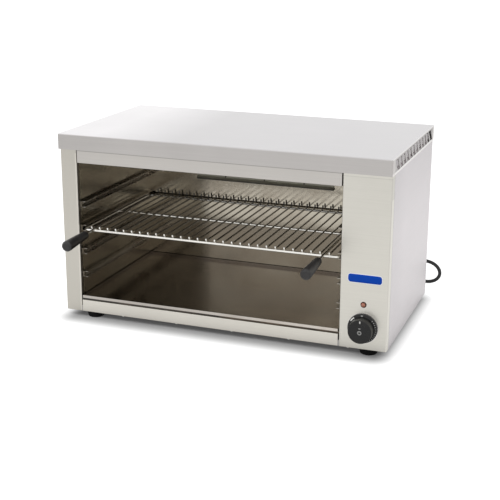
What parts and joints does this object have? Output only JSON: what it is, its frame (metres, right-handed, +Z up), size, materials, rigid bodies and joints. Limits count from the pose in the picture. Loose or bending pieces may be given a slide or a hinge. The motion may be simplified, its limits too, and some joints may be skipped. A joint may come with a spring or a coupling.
{
  "type": "cheese melter",
  "caption": "Open-fronted electric cheese melter in brushed stainless steel: sliding wire rack with black grips, crumb tray, tubular heating elements, regulator knob, mains lead",
  "frame": {"origin": "On the table, midway across the cabinet's width and midway between the tips of the two grips and the back of the cover", "axes": "+X to the cabinet's right as seen from the front, +Y to the back, +Z up"},
  "size_m": [0.8196, 0.7132, 0.451],
  "materials": {
    "brushed_sheet": "satin brushed stainless sheet",
    "liner_sheet": "satin stainless liner sheet, warm grey from heat",
    "rivet_steel": "plain bright steel",
    "wire_steel": "bright plated wire",
    "element_sheath": "dark oxidised tube",
    "brass": "machined brass",
    "ceramic": "white glazed ceramic",
    "mineral_wool": "pale pressed mineral fibre",
    "black_plastic": "black moulded plastic, slightly grained",
    "lamp_lens_plastic": "translucent amber",
    "lamp_rim_plastic": "dark red-brown moulding",
    "pale_plastic": "off-white moulding",
    "foot_rubber": "black rubber",
    "lead_rubber": "black rubber sheath"
  },
  "bodies": {
    "cabinet": {"top_cover": "brushed_sheet", "left_side_panel": "brushed_sheet", "right_side_panel": "brushed_sheet", "back_panel": "brushed_sheet", "base_plate": "brushed_sheet", "upper_fascia": "brushed_sheet", "lower_rail": "brushed_sheet", "control_panel": "brushed_sheet", "chamber_left_wall": "liner_sheet", "chamber_right_wall": "liner_sheet", "chamber_back_wall": "liner_sheet", "chamber_ceiling": "liner_sheet", "chamber_floor": "liner_sheet", "insulation_slab": "mineral_wool", "flue_hood": "liner_sheet", "flue_hood_rivets": "rivet_steel", "left_runner_1": "liner_sheet", "left_runner_2": "liner_sheet", "left_runner_3": "liner_sheet", "left_runner_4": "liner_sheet", "right_runner_1": "liner_sheet", "right_runner_2": "liner_sheet", "right_runner_3": "liner_sheet", "right_runner_4": "liner_sheet", "element_front": "element_sheath", "element_middle": "element_sheath", "element_back": "element_sheath", "element_brackets": "liner_sheet", "element_glands": "brass", "element_insulators": "ceramic", "element_tabs": "rivet_steel", "dial_bezel": "brushed_sheet", "regulator": "black_plastic", "regulator_nut": "rivet_steel", "lamp_rim": "lamp_rim_plastic", "lamp_lens": "lamp_lens_plastic", "lamp_body": "pale_plastic", "terminal_block": "pale_plastic", "foot_front_left": "foot_rubber", "foot_front_right": "foot_rubber", "foot_back_left": "foot_rubber", "foot_back_right": "foot_rubber", "foot_bolts": "rivet_steel", "cover_screws": "rivet_steel", "back_screws": "rivet_steel", "cord_gland": "black_plastic", "mains_cord": "lead_rubber", "cord_coil": "lead_rubber", "plug": "black_plastic"},
    "rack": {"wire_rack": "wire_steel", "left_handle_rod": "wire_steel", "right_handle_rod": "wire_steel", "left_grip": "black_plastic", "right_grip": "black_plastic"},
    "tray": {"crumb_tray": "liner_sheet"},
    "knob": {"knob": "black_plastic", "spindle": "rivet_steel"}
  },
  "joints": [
    {"name": "rack_slide", "type": "slide", "parent": "cabinet", "child": "rack", "axis": [0, -1, 0], "range_m": [0, 0.24]},
    {"name": "tray_slide", "type": "slide", "parent": "cabinet", "child": "tray", "axis": [0, -1, 0], "range_m": [0, 0.3]},
    {"name": "knob_turn", "type": "hinge", "parent": "cabinet", "child": "knob", "pos_m": [0.3438, -0.15787, 0.065], "axis": [0, 1, 0], "range_deg": [0, 270]}
  ]
}
